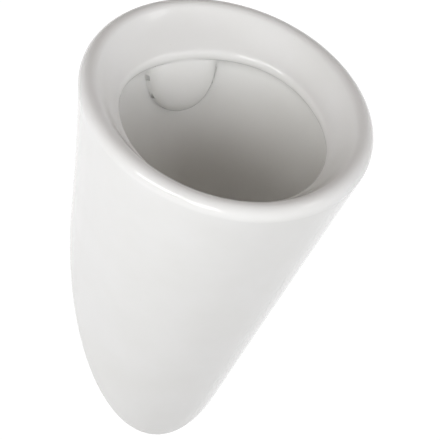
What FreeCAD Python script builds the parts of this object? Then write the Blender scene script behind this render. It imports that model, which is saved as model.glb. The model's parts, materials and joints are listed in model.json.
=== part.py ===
import FreeCAD, Part
import math
import os
from FreeCAD import Vector

# Wall hung urinal with a concealed inlet and a concealed trap. Millimetres.
# The wall is the plane y = 0 and the urinal stands in front of it, towards -Y.
# The origin is midway between the two hanger studs, on the wall; +X is to the right.

# ---- overall body ----
WIDTH = 305.0              # across the rolled rim
DEPTH = 340.0              # wall to the front of the rim
HEIGHT = 530.0             # rim's top to the lower tip at the wall
RIM_TOP_Z = 190.0          # rim's top above the studs
RIM_TILT = 19.5            # degrees, the rim leans down towards the front
ROLL_R = 11.5              # outer roll of the rim
SKIN_TANGENT = -15.0       # degrees round the roll where the skirt leaves it
WALL_HALF_WIDTH = 114.0    # half width of the outline that meets the wall
WALL_TOP_DROP = 25.0       # rim's top to the top of that outline

# ---- opening and lip ----
OPENING_HALF_WIDTH = 106.5
OPENING_FRONT = 127.0      # opening's centre to its front edge, along the rim
OPENING_BACK = 119.0       # opening's centre to its back edge, along the rim
OPENING_SQUARE = 0.89      # conic weight of the back corners; an ellipse has 0.707
OPENING_SHIFT = 3.0        # opening's centre ahead of the rim's centre
LIP_R = 9.0                # inner roll of the lip
LIP_DROP = 24.7            # roll's centre line down to the lip's centre line
DISH_SAG = 0.8             # hollow of the band between roll and lip
DISH_ANGLE = 128.0         # degrees round both rolls where the band leaves them
LIP_END = 270.0            # degrees round the lip where its underside meets the bowl
ROLL_RINGS = 6             # sections lofted round each roll

# ---- bowl ----
BOWL_HALF_WIDTH = 116.5    # just below the lip
BOWL_HALF_LENGTH = 140.0
BOWL_SIDE_BULGE = 14.0     # fuller than a straight taper at mid depth
BOWL_FRONT_DRAW = 5.0      # flatter than a straight taper at the front
SUMP_Y = -98.0             # axis of the sump, the well and the strainer
SUMP_ABOVE_TIP = 202.0     # lower tip up to the level floor of the bowl
SUMP_R = 28.0
WELL_R = 20.0
WELL_DEPTH = 54.0
WELL_ROUND = 8.0           # round edge of the well's floor
BOWL_RINGS = 8             # sections lofted from lip to sump

# ---- casting ----
WALL_T = 9.0               # cast wall of bowl and well
SKIN_T = 10.5              # cast wall of the skirt, in the rim's plane
WALL_FLANGE = 14.0         # width of the edge that bears on the wall
HOLLOW_TOP_DROP = 12.0     # roll's centre line down to the hollow's top
BACK_T = 12.0              # back plate
TRAP_HEADROOM = 73.0       # trap's axis up to the back plate; the hollow is open to the wall below it

# ---- flush hood, cast under the lip at the back ----
HOOD_Z = 128.0             # its widest level
HOOD_HALF_WIDTH = 50.0     # at its root, inside the bowl's back wall
HOOD_DROP = 58.0           # widest level down to its lower tip
HOOD_RISE = 12.0           # widest level up into the lip
HOOD_SQUARE = 0.86         # conic weight of its lower outline
HOOD_FULLNESS = 2.3        # 2 would be a plain ellipsoid
HOOD_ROOT_Y = -22.0
HOOD_FRONT_Y = -46.5
HOOD_WALL = 6.0
HOOD_RINGS = 6
DOME_ANGLE = 85.0          # where the dome's small flat crown begins; 90 would leave a point
CHAMBER_MARGIN = 12.0      # chamber's outline inside the hood's
CHAMBER_RISE = 4.0
PAD_MARGIN = 6.0           # solid casting kept round the hood's root
SLOT_LENGTH = 9.0          # flush slots beside the hood
SLOT_WIDTH = 3.0
SLOT_REACH = 30.0
SIDE_SLOTS = ((38.0, 14.0), (31.0, 39.0))  # across, and below the widest level
RINSE_SLOT_LENGTH = 26.0   # slot under the hood's tip

# ---- hanging ----
STUD_SPACING = 150.0
STUD_R = 4.0
STUD_OUT = 26.0            # free end in front of the wall
STUD_IN = 58.0             # depth in the plug
PLUG_R = 6.0
PLUG_LENGTH = 62.0
PLUG_SLIT = 1.2
PLUG_SLIT_LENGTH = 26.0
SLEEVE_WALL = 2.2
SLEEVE_FLANGE_R = 11.0
SLEEVE_FLANGE_T = 2.5
WASHER_T = 1.6
STUD_NUT_FLATS = 13.0
STUD_NUT_T = 6.5
KEYHOLE_DROP = 27.0        # stud down to the keyhole's round entry
KEYHOLE_PLAY = 1.0         # entry's radius over the sleeve's flange

# ---- flush inlet ----
INLET_Z = 108.0
INLET_HOLE_R = 17.5
INLET_PLAY = 1.0           # hole's radius over collar and washer
NIPPLE_R = 10.48           # half-inch pipe thread
NIPPLE_BORE_R = 7.5
NIPPLE_IN_WALL = 30.0
NIPPLE_COLLAR_T = 2.0
NIPPLE_FRONT_Y = -27.0
INLET_SEAL_T = 12.0
INLET_WASHER_T = 2.0
INLET_NUT_FLATS = 26.0
INLET_NUT_T = 6.0
NOZZLE_R = 15.0
NOZZLE_T = 10.5
NOZZLE_WALL = 2.0
NOZZLE_PORTS = 6
NOZZLE_PORT_R = 2.2

# ---- strainer ----
GRATE_R = 26.5
GRATE_T = 1.8
GRATE_DOME = 2.5           # crown of the perforated plate
GRATE_HOLE_R = 2.3
INNER_ROW_R = 9.5          # rows of holes round the screw
INNER_ROW_HOLES = 8
OUTER_ROW_R = 16.5
OUTER_ROW_HOLES = 14
RING_T = 1.5
RING_INSET = 1.0           # ring's bore over the well's
CLIP_T = 1.0
CLIP_LEGS = 3
CLIP_LEG_WIDTH = 7.0
CLIP_DROP = 16.0
CLIP_TURN = -90.0          # degrees, a leg points at the bowl's front
SCREW_R = 2.5
SCREW_HEAD_R = 5.0
SCREW_HEAD_T = 2.6
SCREW_LENGTH = 9.0
SCREW_SLOT = 1.2

# ---- trap ----
TRAP_Y = -32.0             # axis of the bottle
TRAP_ABOVE_TIP = 172.0     # lower tip up to the axis of its inlet and outlet
HEAD_R = 26.0
HEAD_T = 3.0
HEAD_MARGIN = 1.0          # head's top over the outlet's
HEAD_ROUND = 6.0
INLET_SPIGOT_R = 16.0
SPIGOT_T = 2.5
OUTLET_R = 25.0            # DN 50 spigot
OUTLET_T = 2.4
OUTLET_IN_WALL = 40.0
OUTLET_SHOULDER = 2.5
TRAP_SEAL = 50.0           # depth of the water seal
DIP_FLOOR_GAP = 8.0
CUP_T = 3.0
CUP_ROUND = 11.0
CUP_LAP = 10.0             # cup's collar over the head's skirt
CUP_RIBS = 18
CUP_RIB_R = 1.2
SKIRT_DROP = 38.0          # trap's axis down to the head's lower edge
CUP_SEAL_T = 2.0
O_RING_R = 0.9
DIP_NECK = 12.0            # dip tube's neck inside the elbow
SLEEVE_BORE_R = 19.0       # bore of the casting's outlet collar
COLLAR_T = 7.0
SLEEVE_LIP_T = 1.5

# ---- clearances ----
SEAT_GAP = 0.3             # between pieces that bear on each other
THREAD_GAP = 0.05          # radial, in threads
OVERCUT = 1.0              # how far a cutting solid passes the face that it cuts
LEVEL_TOLERANCE = 0.01

# ---- derived ----
TILT = math.radians(RIM_TILT)
AXIS_X = Vector(1, 0, 0)
AXIS_Y = Vector(0, 1, 0)
AXIS_Z = Vector(0, 0, 1)
FORWARD = Vector(0, -math.cos(TILT), -math.sin(TILT))   # along the rim, towards the front
RIM_UP = Vector(0, -math.sin(TILT), math.cos(TILT))     # square to the rim
ELLIPSE = math.sqrt(0.5)                                # conic weight of a true ellipse
ROLL_A = WIDTH / 2 - ROLL_R
ROLL_B = (DEPTH - 2 * ROLL_R) / (2 * math.cos(TILT))
RIM_CENTRE = Vector(0, -DEPTH / 2, RIM_TOP_Z - ROLL_R - ROLL_B * math.sin(TILT))
LIP_CENTRE = RIM_CENTRE + FORWARD * OPENING_SHIFT
TIP_Z = RIM_TOP_Z - HEIGHT
SUMP_Z = TIP_Z + SUMP_ABOVE_TIP
TRAP_AXIS_Z = TIP_Z + TRAP_ABOVE_TIP
BACK_PLATE_LOW_Z = TRAP_AXIS_Z + TRAP_HEADROOM
SKIRT_LOW_Z = TRAP_AXIS_Z - SKIRT_DROP
SUMP_CENTRE = Vector(0, SUMP_Y, SUMP_Z)
WELL_FLOOR_Z = SUMP_Z - WELL_DEPTH
STUD_XS = (-STUD_SPACING / 2, STUD_SPACING / 2)


def ring(centre, half_width, front, back, along=FORWARD, square_back=ELLIPSE, square_front=ELLIPSE):
    """Closed oval of four conic quarters, in the plane of X and along."""
    right = AXIS_X * half_width
    quarters = (
        (right, along * front, square_front),
        (along * front, right * -1, square_front),
        (right * -1, along * -back, square_back),
        (along * -back, right, square_back),
    )
    edges = []
    for start, end, weight in quarters:
        conic = Part.BSplineCurve()
        poles = [centre + start, centre + start + end, centre + end]
        conic.buildFromPolesMultsKnots(poles, [3, 3], [0, 1], False, 2, [1, weight, 1])
        edges.append(conic.toShape())
    return Part.Wire(edges)


def steps(start, end, count):
    """Evenly spaced values from start to end."""
    return [start + (end - start) * i / (count - 1) for i in range(count)]


def loft_faces(rings, ruled=False):
    return Part.makeLoft(rings, False, ruled).Faces


def solid_from(faces):
    shell = Part.makeShell(faces)
    shell.sewShape()
    solid = Part.makeSolid(shell)
    if solid.Volume < 0:
        solid.reverse()
    return solid


def loft_solid(rings, ruled=False):
    faces = loft_faces(rings, ruled) + [Part.Face(rings[0]), Part.Face(rings[-1])]
    return solid_from(faces)


def rod(radius, y_from, y_to, x=0.0, z=0.0):
    """Cylinder along Y."""
    return Part.makeCylinder(radius, y_to - y_from, Vector(x, y_from, z), AXIS_Y)


def post(radius, z_from, z_to, y=0.0):
    """Cylinder along Z on the middle plane."""
    return Part.makeCylinder(radius, z_to - z_from, Vector(0, y, z_from), AXIS_Z)


def tube(outer, inner):
    return outer.cut(inner)


def edges_at(shape, z):
    """Edges that lie in one level plane."""
    return [edge for edge in shape.Edges if abs(edge.CenterOfMass.z - z) < LEVEL_TOLERANCE]


def hexagon_prism(across_flats, y_from, y_to, x=0.0, z=0.0):
    corner = across_flats / math.sqrt(3)
    points = []
    for i in range(7):
        turn = math.radians(60 * i)
        points.append(Vector(x + corner * math.cos(turn), y_from, z + corner * math.sin(turn)))
    face = Part.Face(Part.makePolygon(points))
    return face.extrude(AXIS_Y * (y_to - y_from))


# ---- ceramic body ----
def roll_ring(degrees):
    """Section of the rim's outer roll; 90 degrees is its top, 180 its inner side."""
    out = ROLL_R * math.cos(math.radians(degrees))
    up = ROLL_R * math.sin(math.radians(degrees))
    return ring(RIM_CENTRE + RIM_UP * up, ROLL_A + out, ROLL_B + out, ROLL_B + out)


def lip_ring(degrees):
    """Section of the lip's roll; 180 degrees is its innermost edge."""
    out = LIP_R + LIP_R * math.cos(math.radians(degrees))
    up = LIP_R * math.sin(math.radians(degrees)) - LIP_DROP
    return ring(LIP_CENTRE + RIM_UP * up, OPENING_HALF_WIDTH + out, OPENING_FRONT + out,
                OPENING_BACK + out, square_back=OPENING_SQUARE)


def dish_ring():
    """Middle of the band between the two rolls, a little hollow."""
    turn = math.radians(DISH_ANGLE)
    roll_out = ROLL_R * math.cos(turn)
    lip_out = LIP_R + LIP_R * math.cos(turn)
    up = (ROLL_R * math.sin(turn) + LIP_R * math.sin(turn) - LIP_DROP) / 2 - DISH_SAG
    return ring(RIM_CENTRE + FORWARD * (OPENING_SHIFT / 2) + RIM_UP * up,
                (ROLL_A + roll_out + OPENING_HALF_WIDTH + lip_out) / 2,
                (ROLL_B + roll_out + OPENING_FRONT + lip_out) / 2,
                (ROLL_B + roll_out + OPENING_BACK + lip_out) / 2,
                square_back=(ELLIPSE + OPENING_SQUARE) / 2)


def bowl_ring(depth, wall=0.0, drop=0.0):
    """Section of the bowl at a share of its depth, grown by a wall for its outside."""
    top = LIP_CENTRE - RIM_UP * (LIP_DROP + LIP_R)
    front = top + FORWARD * BOWL_HALF_LENGTH
    back = top - FORWARD * BOWL_HALF_LENGTH
    taper = SUMP_CENTRE - AXIS_Y * SUMP_R - front
    draw = Vector(0, -taper.z, taper.y).normalize() * (4 * BOWL_FRONT_DRAW * depth * (1 - depth))
    front = front + taper * depth - draw
    sump_back = SUMP_CENTRE + AXIS_Y * SUMP_R
    back = Vector(0, back.y + (sump_back.y - back.y) * depth ** 3, back.z + (sump_back.z - back.z) * depth)
    bulge = 4 * BOWL_SIDE_BULGE * depth * (1 - depth)
    half_width = BOWL_HALF_WIDTH + (SUMP_R - BOWL_HALF_WIDTH) * depth + bulge
    half_length = (front - back).Length / 2 + wall
    along = (front - back).normalize()
    centre = (front + back) * 0.5 - AXIS_Z * drop
    return ring(centre, half_width + wall, half_length, half_length, along)


def wall_ring(inset=0.0, y=0.0):
    """Outline of the skirt where it meets the wall."""
    half_height = (HEIGHT - WALL_TOP_DROP) / 2
    centre = Vector(0, y, TIP_Z + half_height)
    return ring(centre, WALL_HALF_WIDTH - inset, half_height - inset, half_height - inset, AXIS_Z * -1)


def outer_and_bowl():
    """Casting with its bowl but still solid between bowl and skirt."""
    roll = [roll_ring(angle) for angle in steps(SKIN_TANGENT, DISH_ANGLE, ROLL_RINGS)]
    lip = [lip_ring(angle) for angle in steps(DISH_ANGLE, LIP_END, ROLL_RINGS)]
    bowl = [bowl_ring(depth) for depth in steps(0, 1, BOWL_RINGS)]
    faces = loft_faces([wall_ring(), roll[0]], True)
    faces += loft_faces(roll)
    faces += loft_faces([roll[-1], dish_ring(), lip[0]])
    faces += loft_faces(lip)
    faces += loft_faces([lip[-1], bowl[0]], True)
    faces += loft_faces(bowl)
    faces += [Part.Face(wall_ring()), Part.Face(bowl[-1])]
    return solid_from(faces)


def hood_ring(y, half_width, drop, rise):
    return ring(Vector(0, y, HOOD_Z), half_width, drop, rise, AXIS_Z * -1, square_front=HOOD_SQUARE)


def dome(half_width, drop, rise, front_y):
    """Shield-shaped dome on the bowl's back wall."""
    rings = []
    for angle in steps(0, DOME_ANGLE, HOOD_RINGS):
        reach = math.sin(math.radians(angle))
        share = (1 - reach ** HOOD_FULLNESS) ** (1 / HOOD_FULLNESS)
        y = HOOD_ROOT_Y + (front_y - HOOD_ROOT_Y) * reach
        rings.append(hood_ring(y, half_width * share, drop * share, rise * share))
    return loft_solid(rings)


def flush_chamber():
    """Space inside the hood, its slots and the inlet's hole through the back."""
    chamber = dome(HOOD_HALF_WIDTH - CHAMBER_MARGIN, HOOD_DROP - CHAMBER_MARGIN, CHAMBER_RISE,
                   HOOD_FRONT_Y + HOOD_WALL)
    cuts = [rod(INLET_HOLE_R, HOOD_ROOT_Y - OVERCUT, OVERCUT, 0, INLET_Z)]
    wall_y = (LIP_CENTRE - RIM_UP * (LIP_DROP + LIP_R) - FORWARD * BOWL_HALF_LENGTH).y
    for across, down in SIDE_SLOTS:
        curve = BOWL_HALF_LENGTH * (1 - math.sqrt(1 - (across / BOWL_HALF_WIDTH) ** 2))
        low = HOOD_Z - down - SLOT_LENGTH / 2
        for x in (across - SLOT_REACH / 2, -across - SLOT_REACH / 2):
            corner = Vector(x, wall_y - curve - SLOT_WIDTH, low)
            cuts.append(Part.makeBox(SLOT_REACH, SLOT_WIDTH, SLOT_LENGTH, corner))
    corner = Vector(-RINSE_SLOT_LENGTH / 2, wall_y - SLOT_WIDTH, HOOD_Z - HOOD_DROP)
    cuts.append(Part.makeBox(RINSE_SLOT_LENGTH, SLOT_WIDTH, CHAMBER_MARGIN + SLOT_LENGTH, corner))
    return chamber.fuse(cuts)


def hollow():
    """Space between skirt and bowl that the casting leaves, open at the lower back."""
    top = ring(RIM_CENTRE - RIM_UP * HOLLOW_TOP_DROP, WIDTH / 2 - SKIN_T, ROLL_B + ROLL_R - SKIN_T,
               ROLL_B + ROLL_R - SKIN_T)
    space = loft_solid([wall_ring(WALL_FLANGE), top], True)
    funnel = ring(RIM_CENTRE, ROLL_A, ROLL_B, ROLL_B)
    shoulder = bowl_ring(0, WALL_T, -LIP_R)
    bowl_outside = [bowl_ring(depth, WALL_T) for depth in steps(0, 1, BOWL_RINGS)]
    space = space.cut(loft_solid([funnel, shoulder], True))
    space = space.cut(loft_solid([shoulder, bowl_outside[0]], True))
    space = space.cut(loft_solid(bowl_outside))
    plate_height = RIM_TOP_Z - BACK_PLATE_LOW_Z
    plate = Part.makeBox(WIDTH, 2 * BACK_T, plate_height, Vector(-WIDTH / 2, -BACK_T, BACK_PLATE_LOW_Z))
    pad_sizes = [size + PAD_MARGIN for size in (HOOD_HALF_WIDTH, HOOD_DROP, HOOD_RISE)]
    pad = loft_solid([hood_ring(y, *pad_sizes) for y in (0, HOOD_FRONT_Y)], True)
    return space.cut(plate).cut(pad).cut(outlet_collar())


def outlet_collar():
    """Well wall and the collar that takes the trap's rubber sleeve."""
    well = post(WELL_R + WALL_T, WELL_FLOOR_Z - WALL_T, SUMP_Z, SUMP_Y)
    well = well.fuse(post(SUMP_R + WALL_T, SUMP_Z - WALL_T, SUMP_Z + OVERCUT, SUMP_Y))
    collar_back = TRAP_Y - HEAD_R - COLLAR_T / 2
    return well.fuse(rod(SLEEVE_BORE_R + COLLAR_T, SUMP_Y, collar_back, 0, TRAP_AXIS_Z))


def well_cut():
    well = post(WELL_R, WELL_FLOOR_Z, SUMP_Z + OVERCUT, SUMP_Y)
    floor = edges_at(well, WELL_FLOOR_Z)
    well = well.makeFillet(WELL_ROUND, floor)
    return well.fuse(rod(SLEEVE_BORE_R, SUMP_Y, TRAP_Y, 0, TRAP_AXIS_Z))


def keyhole(x):
    slot_r = STUD_R + SLEEVE_WALL + 2 * SEAT_GAP
    front = -BACK_T - OVERCUT
    entry = rod(SLEEVE_FLANGE_R + KEYHOLE_PLAY, front, OVERCUT, x, -KEYHOLE_DROP)
    neck = Part.makeBox(2 * slot_r, OVERCUT - front, KEYHOLE_DROP, Vector(x - slot_r, front, -KEYHOLE_DROP))
    return entry.fuse([rod(slot_r, front, OVERCUT, x), neck])


def ceramic_body():
    body = outer_and_bowl().cut(hollow())
    body = body.fuse(dome(HOOD_HALF_WIDTH, HOOD_DROP, HOOD_RISE, HOOD_FRONT_Y))
    cuts = [flush_chamber(), well_cut()]
    cuts += [keyhole(x) for x in STUD_XS]
    return body.cut(cuts)


# ---- hanging set ----
def both_studs(make):
    """The same fastener on both studs, as one group of two solids."""
    return Part.makeCompound([make(x) for x in STUD_XS])


def hanger_stud(x):
    return rod(STUD_R, -STUD_OUT, STUD_IN, x)


def wall_plug(x):
    plug = tube(rod(PLUG_R, SEAT_GAP, PLUG_LENGTH, x), rod(STUD_R + THREAD_GAP, 0, STUD_IN + SEAT_GAP, x))
    slit_start = PLUG_LENGTH - PLUG_SLIT_LENGTH
    low = -PLUG_R - OVERCUT
    slit = Part.makeBox(PLUG_SLIT, PLUG_LENGTH, -2 * low, Vector(x - PLUG_SLIT / 2, slit_start, low))
    return plug.cut(slit)


def sleeve_back_y():
    return -BACK_T - SEAT_GAP - SLEEVE_FLANGE_T


def hanger_sleeve(x):
    body = rod(STUD_R + SLEEVE_WALL + SEAT_GAP, -BACK_T - SEAT_GAP, -SEAT_GAP, x)
    flange = rod(SLEEVE_FLANGE_R, sleeve_back_y(), -BACK_T - SEAT_GAP, x)
    return tube(body.fuse(flange), rod(STUD_R + SEAT_GAP, sleeve_back_y() - OVERCUT, OVERCUT, x))


def washer_back_y():
    return sleeve_back_y() - SEAT_GAP - WASHER_T


def hanger_washer(x):
    disc = rod(SLEEVE_FLANGE_R, washer_back_y(), sleeve_back_y() - SEAT_GAP, x)
    return tube(disc, rod(STUD_R + SEAT_GAP, washer_back_y() - OVERCUT, 0, x))


def hanger_nut(x):
    back = washer_back_y() - SEAT_GAP
    nut = hexagon_prism(STUD_NUT_FLATS, back - STUD_NUT_T, back, x)
    return tube(nut, rod(STUD_R + THREAD_GAP, back - STUD_NUT_T - OVERCUT, back + OVERCUT, x))


# ---- flush inlet, all on the inlet's axis ----
def inlet_nipple():
    body = rod(NIPPLE_R, NIPPLE_FRONT_Y, NIPPLE_IN_WALL, 0, INLET_Z)
    collar = rod(INLET_HOLE_R - INLET_PLAY, -NIPPLE_COLLAR_T, 0, 0, INLET_Z)
    bore = rod(NIPPLE_BORE_R, NIPPLE_FRONT_Y - OVERCUT, NIPPLE_IN_WALL + OVERCUT, 0, INLET_Z)
    return tube(body.fuse(collar), bore)


def inlet_seal_front_y():
    return -NIPPLE_COLLAR_T - SEAT_GAP - INLET_SEAL_T


def inlet_seal():
    ring_body = rod(INLET_HOLE_R - SEAT_GAP, inlet_seal_front_y(), -NIPPLE_COLLAR_T - SEAT_GAP, 0, INLET_Z)
    bore = rod(NIPPLE_R + SEAT_GAP, inlet_seal_front_y() - OVERCUT, 0, 0, INLET_Z)
    return tube(ring_body, bore)


def inlet_washer_front_y():
    return inlet_seal_front_y() - SEAT_GAP - INLET_WASHER_T


def inlet_washer():
    back = inlet_seal_front_y() - SEAT_GAP
    disc = rod(INLET_HOLE_R - INLET_PLAY, inlet_washer_front_y(), back, 0, INLET_Z)
    return tube(disc, rod(NIPPLE_R + SEAT_GAP, inlet_washer_front_y() - OVERCUT, 0, 0, INLET_Z))


def inlet_nut_front_y():
    return inlet_washer_front_y() - SEAT_GAP - INLET_NUT_T


def inlet_lock_nut():
    nut = hexagon_prism(INLET_NUT_FLATS, inlet_nut_front_y(), inlet_washer_front_y() - SEAT_GAP, 0, INLET_Z)
    return tube(nut, rod(NIPPLE_R + THREAD_GAP, inlet_nut_front_y() - OVERCUT, 0, 0, INLET_Z))


def flush_nozzle():
    """Cap on the nipple's end that spreads the flush water sideways into the chamber."""
    back = inlet_nut_front_y() - SEAT_GAP
    front = back - NOZZLE_T
    cap = rod(NOZZLE_R, front, back, 0, INLET_Z)
    cap = cap.cut(rod(NIPPLE_R + THREAD_GAP, front + NOZZLE_WALL, back + OVERCUT, 0, INLET_Z))
    port_y = (front + NOZZLE_WALL + NIPPLE_FRONT_Y) / 2
    for i in range(NOZZLE_PORTS):
        turn = 2 * math.pi * i / NOZZLE_PORTS
        outward = Vector(math.cos(turn), 0, math.sin(turn))
        port = Part.makeCylinder(NOZZLE_PORT_R, NOZZLE_R + OVERCUT, Vector(0, port_y, INLET_Z), outward)
        cap = cap.cut(port)
    return cap


# ---- strainer, all on the sump's axis ----
def grate_seat_z():
    return SUMP_Z + SEAT_GAP + RING_T + SEAT_GAP


def strainer_ring():
    low = SUMP_Z + SEAT_GAP
    bore = post(WELL_R + RING_INSET, low - OVERCUT, low + RING_T + OVERCUT, SUMP_Y)
    return tube(post(GRATE_R, low, low + RING_T, SUMP_Y), bore)


def crown(radius, rise, z, y):
    """Shallow spherical cap of the given base radius and rise, flat below."""
    sphere_r = (radius ** 2 + rise ** 2) / (2 * rise)
    ball = Part.makeSphere(sphere_r, Vector(0, y, z + rise - sphere_r))
    return ball.common(post(radius, z, z + 2 * rise, y))


def strainer_grate():
    seat = grate_seat_z()
    plate = post(GRATE_R, seat, seat + GRATE_T, SUMP_Y)
    plate = plate.fuse(crown(GRATE_R, GRATE_DOME, seat + GRATE_T, SUMP_Y))
    plate = plate.cut(crown(WELL_R, GRATE_DOME, seat - SEAT_GAP, SUMP_Y))
    above = screw_seat_z() + OVERCUT
    holes = [post(SCREW_R + SEAT_GAP, seat - OVERCUT, above, SUMP_Y)]
    for row_r, count in ((INNER_ROW_R, INNER_ROW_HOLES), (OUTER_ROW_R, OUTER_ROW_HOLES)):
        for i in range(count):
            turn = 2 * math.pi * i / count
            hole = post(GRATE_HOLE_R, seat - OVERCUT, above, SUMP_Y)
            hole.translate(Vector(row_r * math.cos(turn), row_r * math.sin(turn), 0))
            holes.append(hole)
    return plate.cut(holes)


def screw_seat_z():
    return grate_seat_z() + GRATE_T + GRATE_DOME + SEAT_GAP


def strainer_screw():
    seat = screw_seat_z()
    shank = post(SCREW_R, seat - SCREW_LENGTH, seat + SCREW_HEAD_T / 2, SUMP_Y)
    screw = shank.fuse(crown(SCREW_HEAD_R, SCREW_HEAD_T, seat, SUMP_Y))
    slot = Part.makeBox(2 * SCREW_HEAD_R, SCREW_SLOT, SCREW_HEAD_T,
                        Vector(-SCREW_HEAD_R, SUMP_Y - SCREW_SLOT / 2, seat + SCREW_HEAD_T / 2))
    return screw.cut(slot)


def strainer_clip():
    """Spring clip under the grate whose legs grip the well."""
    top = grate_seat_z() - SEAT_GAP
    leg_r = WELL_R - SEAT_GAP
    low = top - CLIP_DROP
    cap = tube(post(leg_r, low, top, SUMP_Y), post(leg_r - CLIP_T, low - OVERCUT, top - CLIP_T, SUMP_Y))
    arms = []
    for i in range(CLIP_LEGS):
        corner = Vector(0, -CLIP_LEG_WIDTH / 2, -OVERCUT)
        arm = Part.makeBox(leg_r + OVERCUT, CLIP_LEG_WIDTH, CLIP_DROP + 2 * OVERCUT, corner)
        arm.rotate(Vector(), AXIS_Z, CLIP_TURN + 360.0 * i / CLIP_LEGS)
        arm.translate(Vector(0, SUMP_Y, low))
        arms.append(arm)
    clip = cap.common(arms[0].fuse(arms[1:]))
    return clip.cut(post(SCREW_R + THREAD_GAP, low, top + OVERCUT, SUMP_Y))


# ---- trap: a bottle on its own upright axis, inlet and outlet on one level ----
def elbow(radius):
    """Inlet pipe that turns down on the bottle's axis."""
    start = SUMP_Y + WELL_R + SEAT_GAP
    level = rod(radius, start, TRAP_Y, 0, TRAP_AXIS_Z)
    down = post(radius, SKIRT_LOW_Z, TRAP_AXIS_Z, TRAP_Y)
    return level.fuse([down, Part.makeSphere(radius, Vector(0, TRAP_Y, TRAP_AXIS_Z))])


def siphon_head():
    top = TRAP_AXIS_Z + OUTLET_R + HEAD_MARGIN
    shell = post(HEAD_R, SKIRT_LOW_Z, top, TRAP_Y)
    shell = shell.makeFillet(HEAD_ROUND, edges_at(shell, top))
    outlet = rod(OUTLET_R, TRAP_Y, OUTLET_IN_WALL, 0, TRAP_AXIS_Z)
    shoulder = rod(OUTLET_R + OUTLET_SHOULDER, -OUTLET_SHOULDER, 0, 0, TRAP_AXIS_Z)
    shell = shell.fuse([outlet, shoulder])
    shell = shell.cut([post(HEAD_R - HEAD_T, SKIRT_LOW_Z - OVERCUT, top - HEAD_T, TRAP_Y),
                       rod(OUTLET_R - OUTLET_T, TRAP_Y, OUTLET_IN_WALL + OVERCUT, 0, TRAP_AXIS_Z)])
    return shell.fuse(elbow(INLET_SPIGOT_R)).cut(elbow(INLET_SPIGOT_R - SPIGOT_T))


def weir_z():
    return TRAP_AXIS_Z - OUTLET_R + OUTLET_T


def dip_neck_r():
    return INLET_SPIGOT_R - SPIGOT_T - THREAD_GAP


def o_ring_centre_r():
    return dip_neck_r() - O_RING_R


def siphon_dip_tube():
    """Push-in tube: its neck fits the elbow, its mouth ends under the water."""
    neck_r = dip_neck_r()
    low = weir_z() - TRAP_SEAL
    flange_top = SKIRT_LOW_Z - SEAT_GAP
    neck = post(neck_r, flange_top, flange_top + DIP_NECK, TRAP_Y)
    groove_low = flange_top + DIP_NECK / 2 - O_RING_R - SEAT_GAP
    groove_high = groove_low + 2 * (O_RING_R + SEAT_GAP)
    root_r = o_ring_centre_r() - O_RING_R - THREAD_GAP
    groove = tube(post(neck_r + OVERCUT, groove_low, groove_high, TRAP_Y),
                  post(root_r, groove_low - OVERCUT, groove_high + OVERCUT, TRAP_Y))
    neck = neck.cut(groove)
    body = post(INLET_SPIGOT_R, low, flange_top, TRAP_Y)
    bore = post(neck_r - SPIGOT_T, low - OVERCUT, flange_top + DIP_NECK + OVERCUT, TRAP_Y)
    return neck.fuse(body).cut(bore)


def dip_tube_o_ring():
    z = SKIRT_LOW_Z - SEAT_GAP + DIP_NECK / 2
    return Part.makeTorus(o_ring_centre_r(), O_RING_R, Vector(0, TRAP_Y, z), AXIS_Z)


def siphon_cup():
    floor = weir_z() - TRAP_SEAL - DIP_FLOOR_GAP - CUP_T
    lap_r = HEAD_R + SEAT_GAP
    shoulder = SKIRT_LOW_Z - SEAT_GAP - CUP_SEAL_T - SEAT_GAP
    cup = post(HEAD_R, floor, shoulder, TRAP_Y)
    cup = cup.makeFillet(CUP_ROUND, edges_at(cup, floor))
    inside = post(HEAD_R - CUP_T, floor + CUP_T, shoulder + OVERCUT, TRAP_Y)
    cup = cup.cut(inside.makeFillet(CUP_ROUND - CUP_T, edges_at(inside, floor + CUP_T)))
    collar_top = shoulder + CUP_LAP
    collar = post(lap_r + CUP_T, shoulder - CUP_T, collar_top, TRAP_Y)
    collar = collar.cut([post(lap_r, shoulder, collar_top + OVERCUT, TRAP_Y),
                         post(HEAD_R - CUP_T, shoulder - CUP_T - OVERCUT, shoulder + OVERCUT, TRAP_Y)])
    ribs = []
    for i in range(CUP_RIBS):
        turn = 2 * math.pi * i / CUP_RIBS
        rib = post(CUP_RIB_R, shoulder - CUP_T, collar_top, TRAP_Y)
        rib.translate(Vector(math.cos(turn), math.sin(turn), 0) * (lap_r + CUP_T))
        ribs.append(rib)
    return cup.fuse(collar).fuse(ribs)


def siphon_cup_seal():
    top = SKIRT_LOW_Z - SEAT_GAP
    low = top - CUP_SEAL_T
    return tube(post(HEAD_R - SEAT_GAP, low, top, TRAP_Y),
                post(HEAD_R - CUP_T + SEAT_GAP, low - OVERCUT, top + OVERCUT, TRAP_Y))


def siphon_inlet_sleeve():
    """Rubber sleeve between the casting's collar and the trap's inlet, with a lip outside."""
    start = SUMP_Y + WELL_R + SEAT_GAP
    end = TRAP_Y - HEAD_R - SEAT_GAP
    collar_back = TRAP_Y - HEAD_R - COLLAR_T / 2
    body = rod(SLEEVE_BORE_R - SEAT_GAP, start, end, 0, TRAP_AXIS_Z)
    lip = rod(SLEEVE_BORE_R + SLEEVE_LIP_T, collar_back + SEAT_GAP, end, 0, TRAP_AXIS_Z)
    bore = rod(INLET_SPIGOT_R + SEAT_GAP, start - OVERCUT, end + OVERCUT, 0, TRAP_AXIS_Z)
    return tube(body.fuse(lip), bore)


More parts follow.
